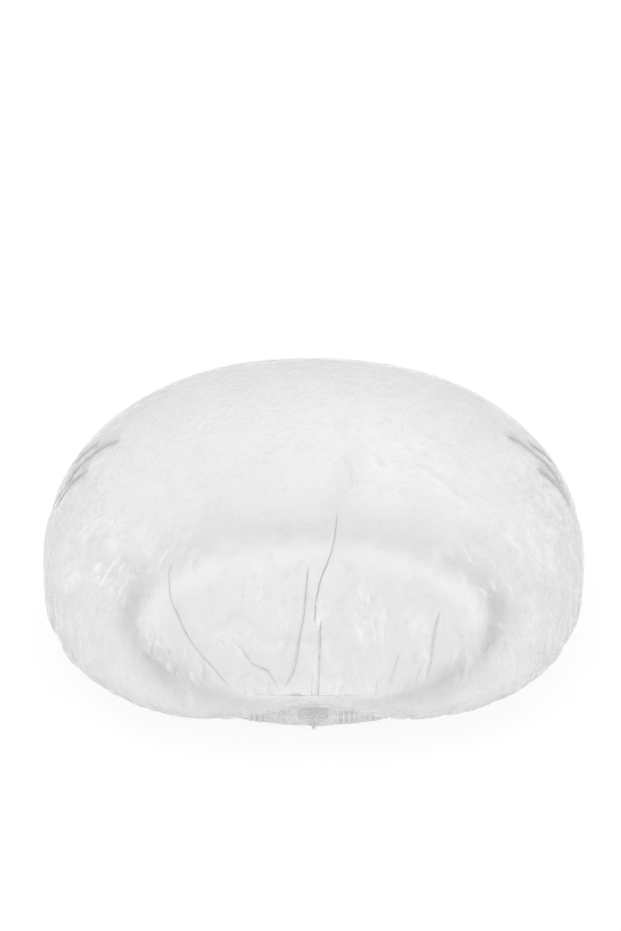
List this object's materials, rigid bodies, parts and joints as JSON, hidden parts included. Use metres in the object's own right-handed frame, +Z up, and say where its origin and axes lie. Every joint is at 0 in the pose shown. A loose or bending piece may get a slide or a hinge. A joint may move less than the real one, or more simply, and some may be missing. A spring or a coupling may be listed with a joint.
{
  "type": "shower cap",
  "caption": "Disposable shower cap of clear crinkled film: a wide puffed dome drawn in by a gathered elastic hem with a small frill.",
  "frame": {"origin": "centre of the opening, level with the foot of the hem, on the surface that the cap stands on", "axes": "+Z up through the crown, -Y towards the hem's join, +X to the right as seen from the join"},
  "size_m": [0.25, 0.2669, 0.1195],
  "materials": {
    "film": "thin clear polyethylene film, finely crinkled, glossy with a milky haze",
    "hem_film": "the same film in two layers, closely gathered",
    "elastic": "thin round white elastic, matt",
    "seal": "film pressed and welded together, small diamond knurl"
  },
  "bodies": {
    "root": {"crown_film": "film", "hem_casing": "hem_film", "elastic_strand_lower": "elastic", "elastic_strand_upper": "elastic", "join_seal": "seal", "join_tail": "elastic"}
  },
  "joints": []
}
